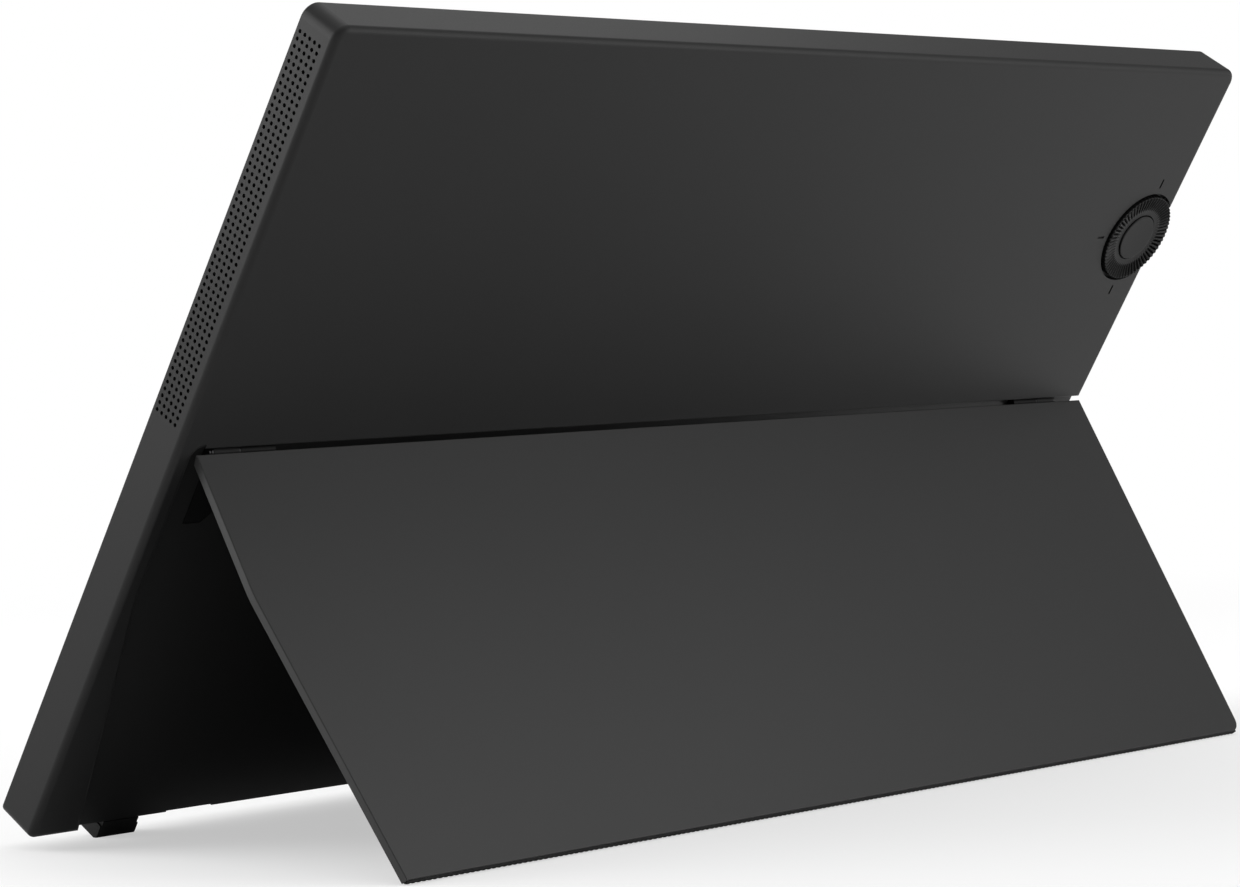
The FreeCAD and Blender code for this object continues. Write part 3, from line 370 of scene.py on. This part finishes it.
def waves(tree, place, pitch, kind="BANDS", direction="X"):
    """Sine from 0 to 1 that repeats every pitch, in bands along one axis or in rings round it."""
    radians_per_unit = 20.0
    node = add_node(tree, "TexWave", {"Vector": place, "Scale": 2 * math.pi / radians_per_unit / pitch,
                                      "Distortion": 0.0}, wave_type=kind)
    if kind == "BANDS":
        node.bands_direction = direction
    else:
        node.rings_direction = direction
    return node.outputs["Fac"]


def cells(tree, place, pitch, randomness):
    """Distance from the nearest of a set of points about a pitch apart, in shares of the pitch."""
    return add_node(tree, "TexVoronoi", {"Vector": place, "Scale": 1.0 / pitch,
                                         "Randomness": randomness}).outputs["Distance"]


def join(tree, operation, first, second):
    """Result of one sum on two numbers."""
    return add_node(tree, "Math", {0: first, 1: second}, operation=operation).outputs[0]


def blend(tree, first, second, share):
    """A share of the first number and the rest of the second."""
    return join(tree, "ADD", join(tree, "MULTIPLY", first, share), join(tree, "MULTIPLY", second, 1.0 - share))


def spread(tree, factor, low, high, start=0.0, end=1.0):
    """Number that goes from low to high as the factor goes from start to end."""
    return add_node(tree, "MapRange", {"Value": factor, "From Min": start, "From Max": end,
                                       "To Min": low, "To Max": high}).outputs["Result"]


def ramp(tree, factor, low, high, start=0.25, end=0.75):
    """Colour that goes from low to high as the factor goes from start to end."""
    node = add_node(tree, "ValToRGB", {"Fac": factor})
    for element, position, colour in zip(node.color_ramp.elements, (start, end), (low, high)):
        element.position = position
        element.color = (*colour, 1.0)
    return node.outputs["Color"]


def over(tree, factor, under, top):
    """Colour that is under where the factor is 0 and top where it is 1."""
    return add_node(tree, "Mix", {0: factor, 6: under, 7: top}, data_type="RGBA").outputs[2]


def tone(level, tint=(1.0, 1.0, 1.0)):
    """Linear colour of an sRGB grey level from 0 to 255, times a tint."""
    share = level / 255.0
    linear = share / 12.92 if share <= 0.04045 else ((share + 0.055) / 1.055) ** 2.4
    return tuple(linear * part for part in tint)


def finish(name, pattern, metallic=0.0, specular=0.5, relief=0.01 * MM, strength=0.3):
    """Material whose pattern gives the colour, the roughness and the height of a small relief."""
    material = bpy.data.materials.new(name)
    material.use_nodes = True
    tree = material.node_tree
    shader = tree.nodes["Principled BSDF"]
    colour, roughness, height = pattern(tree)
    tree.links.new(colour, shader.inputs["Base Color"])
    tree.links.new(roughness, shader.inputs["Roughness"])
    shader.inputs["Metallic"].default_value = metallic
    shader.inputs["Specular IOR Level"].default_value = specular
    normal = add_node(tree, "Bump", {"Strength": strength, "Distance": relief, "Height": height})
    tree.links.new(normal.outputs["Normal"], shader.inputs["Normal"])
    return material


# Patterns
def grained(low, high, rough, grain_pitch, cloud_pitch=60 * MM, grain_share=0.3):
    """Slow clouds of tone under a fine grain that also shifts the gloss."""
    def pattern(tree):
        place = object_place(tree)
        clouds = noise(tree, place, 1.0 / cloud_pitch, 3.0)
        grain = noise(tree, place, 1.0 / grain_pitch, 2.0)
        mixed = blend(tree, grain, clouds, grain_share)
        return ramp(tree, mixed, low, high), spread(tree, grain, *rough, 0.25, 0.75), grain
    return pattern


satin = grained(tone(22.5), tone(25.5), (0.37, 0.43), 0.28 * MM)


def satin_casing(tree):
    """Grained satin whose round rear edges are duller: a mask picks the depths that only these edges reach."""
    edge_depth = 1.5 * MM
    mask_start = (0.02 * edge_depth, 0.2 * edge_depth)
    mask_end = (0.8 * edge_depth, 1.1 * edge_depth)
    edge_roughness = 0.12
    colour, roughness, grain = satin(tree)
    rear_face = float(node_extents("rear_cover")[1][1])
    place = add_node(tree, "SeparateXYZ", {0: upright_place(tree)}).outputs["Y"]
    below = join(tree, "SUBTRACT", rear_face, place)
    edge = join(tree, "MULTIPLY", spread(tree, below, 0.0, 1.0, *mask_start),
                spread(tree, below, 1.0, 0.0, *mask_end))
    return colour, join(tree, "ADD", roughness, join(tree, "MULTIPLY", edge, edge_roughness)), grain


def satin_stand_painted_highlight(tree):
    """Grained satin with a painted highlight: the plate's cut ends, which are the faces that look along x, are
    painted paler.
    """
    # painted highlight: the paler tone given to the faces that look along x
    painted_highlight_tone = tone(46)
    highlight_facing_zone = (0.35, 0.8)
    colour, roughness, grain = satin(tree)
    facing = add_node(tree, "SeparateXYZ", {0: add_node(tree, "TexCoord", {}).outputs["Normal"]}).outputs["X"]
    # painted highlight mask: how squarely a face looks along x
    painted_highlight_mask = spread(tree, join(tree, "ABSOLUTE", facing, 0.0), 0.0, 1.0, *highlight_facing_zone)
    return over(tree, painted_highlight_mask, colour, (*painted_highlight_tone, 1.0)), roughness, grain


def streaked(low, high, rough, pitch, length):
    """Fine streaks along x, as rolling or brushing leaves them, with slow clouds of gloss."""
    streak_share = 0.7

    def pattern(tree):
        streaks = noise(tree, upright_place(tree, stretch=(pitch / length, 1.0, 1.0)), 1.0 / pitch, 3.0, 0.6)
        clouds = noise(tree, object_place(tree), 1.0 / (length / 2), 2.0)
        gloss = blend(tree, streaks, clouds, streak_share)
        return ramp(tree, streaks, low, high), spread(tree, gloss, *rough, 0.25, 0.75), streaks
    return pattern


def lathe_turned(low, high, rough, pitch, centre):
    """Fine rings about the rearward axis through a point, as a lathe leaves them, broken by slow clouds."""
    cloud_pitch = 8 * MM
    ring_share = 0.35

    def pattern(tree):
        rings = waves(tree, upright_place(tree, centre), pitch, "RINGS", "Y")
        clouds = noise(tree, object_place(tree), 1.0 / cloud_pitch, 3.0)
        mixed = blend(tree, rings, clouds, ring_share)
        return ramp(tree, mixed, low, high), spread(tree, mixed, *rough, 0.2, 0.8), rings
    return pattern


def screen_glass(tree):
    """Black glass: a printed border round the picture's area, faint smears in the gloss of both."""
    low, high = node_extents("lcd_panel")
    margin = 2.0 * MM
    smear_pitch = 35 * MM
    picture_roughness = 0.07
    picture_tint = (0.9, 0.95, 1.1)
    half = (high - low) / 2 - margin
    parts = add_node(tree, "SeparateXYZ", {0: upright_place(tree, (low + high) / 2)})
    wide, tall = (join(tree, "LESS_THAN", join(tree, "ABSOLUTE", parts.outputs[axis], 0.0), float(half[index]))
                  for axis, index in (("X", 0), ("Z", 2)))
    picture = join(tree, "MULTIPLY", wide, tall)
    smears = noise(tree, object_place(tree), 1.0 / smear_pitch, 4.0, 0.6)
    border = ramp(tree, smears, tone(5), tone(7))
    inner = ramp(tree, smears, tone(10, picture_tint), tone(13, picture_tint))
    gloss = join(tree, "ADD", spread(tree, smears, 0.05, 0.09), join(tree, "MULTIPLY", picture, picture_roughness))
    return over(tree, picture, border, inner), gloss, smears


def pixel_grid(tree):
    """Dark rows and columns a quarter of a millimetre apart, with a faint tint."""
    pixel_pitch = 0.25 * MM
    place = upright_place(tree)
    grid = join(tree, "MULTIPLY", waves(tree, place, pixel_pitch, direction="X"),
                waves(tree, place, pixel_pitch, direction="Z"))
    return (ramp(tree, grid, tone(8), tone(26, (0.85, 0.95, 1.15)), 0.1, 0.9),
            spread(tree, grid, 0.25, 0.4), grid)


def prism_film(tree):
    """Milky sheet with fine lines along x."""
    line_pitch = 0.3 * MM
    cloud_pitch = 30 * MM
    lines = waves(tree, upright_place(tree), line_pitch, direction="Z")
    clouds = noise(tree, object_place(tree), 1.0 / cloud_pitch)
    return ramp(tree, clouds, tone(222), tone(236)), spread(tree, lines, 0.3, 0.5), lines


def dotted_guide(tree):
    """Pale clear sheet with rows of printed white dots."""
    dot_pitch = 1.2 * MM
    dots = cells(tree, upright_place(tree), dot_pitch, 0.0)
    return (ramp(tree, dots, tone(240), tone(196, (0.95, 1.0, 1.03)), 0.22, 0.26),
            spread(tree, dots, 0.5, 0.12, 0.2, 0.3), dots)


def lamp_strip(tree):
    """White strip with yellow lamp faces every five millimetres."""
    lamp_pitch = 5.0 * MM
    faces = waves(tree, upright_place(tree), lamp_pitch, direction="X")
    return (ramp(tree, faces, tone(225), tone(228, (1.0, 0.78, 0.22)), 0.6, 0.64),
            spread(tree, faces, 0.55, 0.3, 0.55, 0.7), faces)


def printed_board(tree):
    """Green mask over a net of copper runs, with small bright pads."""
    run_pitch, pad_pitch, grain_pitch = 4 * MM, 2.6 * MM, 0.5 * MM
    run_width = 0.03
    pad_edge = (0.11, 0.13)
    mask_tint = (0.3, 1.0, 0.5)
    flat = upright_place(tree, turn=-math.pi / 2)
    lines = add_node(tree, "TexBrick", {"Vector": flat, "Scale": 1.0 / run_pitch, "Mortar Size": run_width,
                                        "Color1": (*tone(46, mask_tint), 1.0),
                                        "Color2": (*tone(52, mask_tint), 1.0),
                                        "Mortar": (*tone(84, (0.4, 1.0, 0.5)), 1.0)}, offset=0.3, squash=0.6)
    pads = cells(tree, upright_place(tree), pad_pitch, 1.0)
    pad = spread(tree, pads, 1.0, 0.0, *pad_edge)
    grain = noise(tree, object_place(tree), 1.0 / grain_pitch)
    mask = over(tree, pad, lines.outputs["Color"], (*tone(190, (1.0, 0.8, 0.4)), 1.0))
    return mask, spread(tree, grain, 0.3, 0.45), join(tree, "ADD", lines.outputs["Fac"], pad)


def ribbon_cable(tree):
    """Amber film over copper runs half a millimetre apart."""
    run_pitch = 0.5 * MM
    runs = waves(tree, upright_place(tree), run_pitch, direction="X")
    return (ramp(tree, runs, tone(150, (1.0, 0.55, 0.12)), tone(190, (1.0, 0.62, 0.22)), 0.35, 0.65),
            spread(tree, runs, 0.35, 0.25), runs)


def woven_mesh(tree):
    """Dark wires over and under each other, the larger of two sets of waves on the side wall's plane."""
    wire_pitch = 0.3 * MM
    place = upright_place(tree)
    weave = join(tree, "MAXIMUM", waves(tree, place, wire_pitch, direction="Y"),
                 waves(tree, place, wire_pitch, direction="Z"))
    return ramp(tree, weave, tone(3), tone(15), 0.3, 0.9), spread(tree, weave, 0.8, 0.6), weave


dial_turned = lathe_turned(tone(13), tone(16), (0.36, 0.42), 0.3 * MM, dial_middle)
tripod_centre = upright_axes @ (np.array(mounts["tripod_thread"]["pos_m"]) - hinge_line)
finishes = {
    "casing": finish("casing_satin", satin_casing, specular=0.205, relief=0.004 * MM),
    # the stand's finish paints a highlight on the plate's cut ends
    "stand": finish("stand_satin_painted_highlight", satin_stand_painted_highlight, specular=0.28, relief=0.004 * MM),
    "rubber": finish("moulded_rubber", grained(tone(13), tone(18), (0.6, 0.78), 0.4 * MM, 9 * MM, 0.6),
                     specular=0.25, relief=0.03 * MM),
    "dial": finish("dial_turned_satin", dial_turned, specular=0.16, relief=0.003 * MM),
    "key": finish("key_satin", grained(tone(19), tone(23), (0.36, 0.44), 0.25 * MM, 5 * MM), specular=0.25,
                  relief=0.004 * MM),
    "cover_glass": finish("screen_glass", screen_glass, relief=0.001 * MM, strength=0.05),
    "panel": finish("pixel_panel", pixel_grid, relief=0.01 * MM),
    "film": finish("prism_film", prism_film, relief=0.01 * MM),
    "guide": finish("dotted_guide", dotted_guide, relief=0.01 * MM),
    "led": finish("lamp_strip", lamp_strip, relief=0.05 * MM),
    "frame_plastic": finish("moulded_plastic", grained(tone(24), tone(31), (0.48, 0.62), 0.35 * MM, 14 * MM, 0.5),
                            relief=0.02 * MM),
    "sheet_metal": finish("rolled_sheet", streaked(tone(168), tone(190), (0.28, 0.45), 0.2 * MM, 14 * MM), 1.0),
    "steel": finish("blackened_steel", streaked(tone(44), tone(56), (0.34, 0.46), 0.12 * MM, 4 * MM), 1.0),
    "hinge_black": finish("hinge_black_coat", grained(tone(7), tone(11), (0.5, 0.62), 0.2 * MM, 8 * MM),
                          specular=0.1),
    "hinge_grey": finish("hinge_grey_coat", grained(tone(18), tone(23), (0.5, 0.62), 0.2 * MM, 8 * MM),
                         specular=0.12),
    "brass": finish("turned_brass", lathe_turned(tone(196, (1.0, 0.72, 0.32)), tone(216, (1.0, 0.76, 0.4)),
                                                 (0.2, 0.36), 0.12 * MM, tripod_centre), 1.0),
    "circuit_board": finish("printed_board", printed_board, relief=0.03 * MM),
    "chip": finish("chip_epoxy", grained(tone(20), tone(27), (0.45, 0.6), 0.15 * MM, 6 * MM, 0.6)),
    "cable": finish("ribbon_cable", ribbon_cable, relief=0.03 * MM),
    "mesh": finish("woven_mesh", woven_mesh, specular=0.2, relief=0.08 * MM, strength=0.8),
}
for part in record["subparts"]:
    node = frame["nodes"][part["node"]]
    node.data.materials.clear()
    node.data.materials.append(finishes[part["material_slot"]])
for piece, slot in ((fluted_dial, "dial"), (press_cap, "dial"), (ribbed_grip, "rubber"), (port_contacts, "brass"),
                    (ledge_end, "casing")):
    piece.data.materials.append(finishes[slot])

# Camera at the photograph's viewing angle
camera_place = Vector((0.697905, 0.613689, 0.124127))
camera_forward = Vector((-0.740891, -0.670212, -0.043545))
camera_down = Vector((0.044694, 0.015491, -0.998881))
camera_data = bpy.data.cameras.new("photo_camera")
camera_data.sensor_width = 36.0
camera_data.lens = 111.27
camera_data.clip_start = 0.01
camera = bpy.data.objects.new("photo_camera", camera_data)
camera_right = camera_down.cross(camera_forward)
camera.matrix_world = Matrix.Translation(camera_place) @ Matrix(
    (camera_right, -camera_down, -camera_forward)).transposed().to_4x4()
bpy.context.scene.collection.objects.link(camera)
bpy.context.scene.camera = camera


# Plain pale floor that turns into the white background away from the object and its shadow
floor_half = 3.0
shadow_reach = 0.3
white_from = 0.7
shadow_lift = 0.5
floor_tone = 0.93
floor_roughness = 0.9
floor_mesh = bpy.data.meshes.new("floor")
floor_mesh.from_pydata([(-floor_half, -floor_half, 0), (floor_half, -floor_half, 0),
                        (floor_half, floor_half, 0), (-floor_half, floor_half, 0)], [], [(0, 1, 2, 3)])
floor = bpy.data.objects.new("floor", floor_mesh)
bpy.context.scene.collection.objects.link(floor)
floor_finish = bpy.data.materials.new("floor_white")
floor_finish.use_nodes = True
floor_tree = floor_finish.node_tree
floor_shader = floor_tree.nodes["Principled BSDF"]
floor_shader.inputs["Base Color"].default_value = (floor_tone, floor_tone, floor_tone, 1.0)
floor_shader.inputs["Roughness"].default_value = floor_roughness
floor_shader.inputs["Specular IOR Level"].default_value = 0.0
floor_away = add_node(floor_tree, "VectorMath", {0: object_place(floor_tree)}, operation="LENGTH").outputs["Value"]
floor_fade = add_node(floor_tree, "MapRange", {"Value": floor_away, "From Min": shadow_reach, "From Max": white_from},
                      interpolation_type="SMOOTHSTEP").outputs["Result"]
floor_path = add_node(floor_tree, "LightPath", {})
floor_seen = join(floor_tree, "MAXIMUM", floor_path.outputs["Is Camera Ray"],
                  join(floor_tree, "MAXIMUM", floor_path.outputs["Is Glossy Ray"],
                       floor_path.outputs["Is Transmission Ray"]))
floor_share = join(floor_tree, "MAXIMUM", join(floor_tree, "MULTIPLY", floor_fade, floor_seen),
                   join(floor_tree, "MULTIPLY", floor_path.outputs["Is Camera Ray"], shadow_lift))
floor_white = add_node(floor_tree, "Emission", {"Strength": 1.0})
floor_mix = add_node(floor_tree, "MixShader", {0: floor_share, 1: floor_shader.outputs["BSDF"],
                                               2: floor_white.outputs["Emission"]})
floor_tree.links.new(floor_mix.outputs["Shader"], floor_tree.nodes["Material Output"].inputs["Surface"])
floor_mesh.materials.append(floor_finish)

# Surroundings as pairs of an elevation in degrees and a brightness: white walls, a grey band and a bright ceiling
sky_steps = ((6.0, 1.0), (11.0, 0.33), (46.0, 0.33), (55.0, 1.0))
world = bpy.data.worlds.new("studio")
world.use_nodes = True
sky_tree = world.node_tree
sky_place = add_node(sky_tree, "TexCoord", {}).outputs["Generated"]
sky_height = add_node(sky_tree, "SeparateXYZ", {0: sky_place}).outputs["Z"]
sky_ramp = add_node(sky_tree, "ValToRGB", {"Fac": sky_height})
for _ in sky_steps[2:]:
    sky_ramp.color_ramp.elements.new(0.5)
for element, (elevation, brightness) in zip(sky_ramp.color_ramp.elements, sky_steps):
    element.position = math.sin(math.radians(elevation))
    element.color = (brightness, brightness, brightness, 1.0)
sky = sky_tree.nodes["Background"]
sky_tree.links.new(sky_ramp.outputs["Color"], sky.inputs["Color"])
sky.inputs["Strength"].default_value = 1.0
bpy.context.scene.world = world

# Softboxes round the object, as azimuth and elevation in degrees and power in watts
lamp_aim = Vector((0.0, 0.0, 0.08))
lamp_distance = 1.3
lamp_size = 0.9
for lamp_name, azimuth, elevation, power in (("side_softbox", 125.0, 20.0, 7.6), ("front_softbox", 318.0, 24.0, 11.0),
                                             ("high_softbox", 90.0, 75.0, 1.5), ("far_softbox", 225.0, 50.0, 1.4)):
    lamp_data = bpy.data.lights.new(lamp_name, "AREA")
    lamp_data.shape = "SQUARE"
    lamp_data.size = lamp_size
    lamp_data.energy = power
    lamp = bpy.data.objects.new(lamp_name, lamp_data)
    turn, rise = math.radians(azimuth), math.radians(elevation)
    outward = Vector((math.cos(rise) * math.cos(turn), math.cos(rise) * math.sin(turn), math.sin(rise)))
    lamp.matrix_world = (Matrix.Translation(lamp_aim + outward * lamp_distance)
                         @ outward.to_track_quat("Z", "Y").to_matrix().to_4x4())
    bpy.context.scene.collection.objects.link(lamp)
bpy.context.scene.view_settings.view_transform = "Standard"
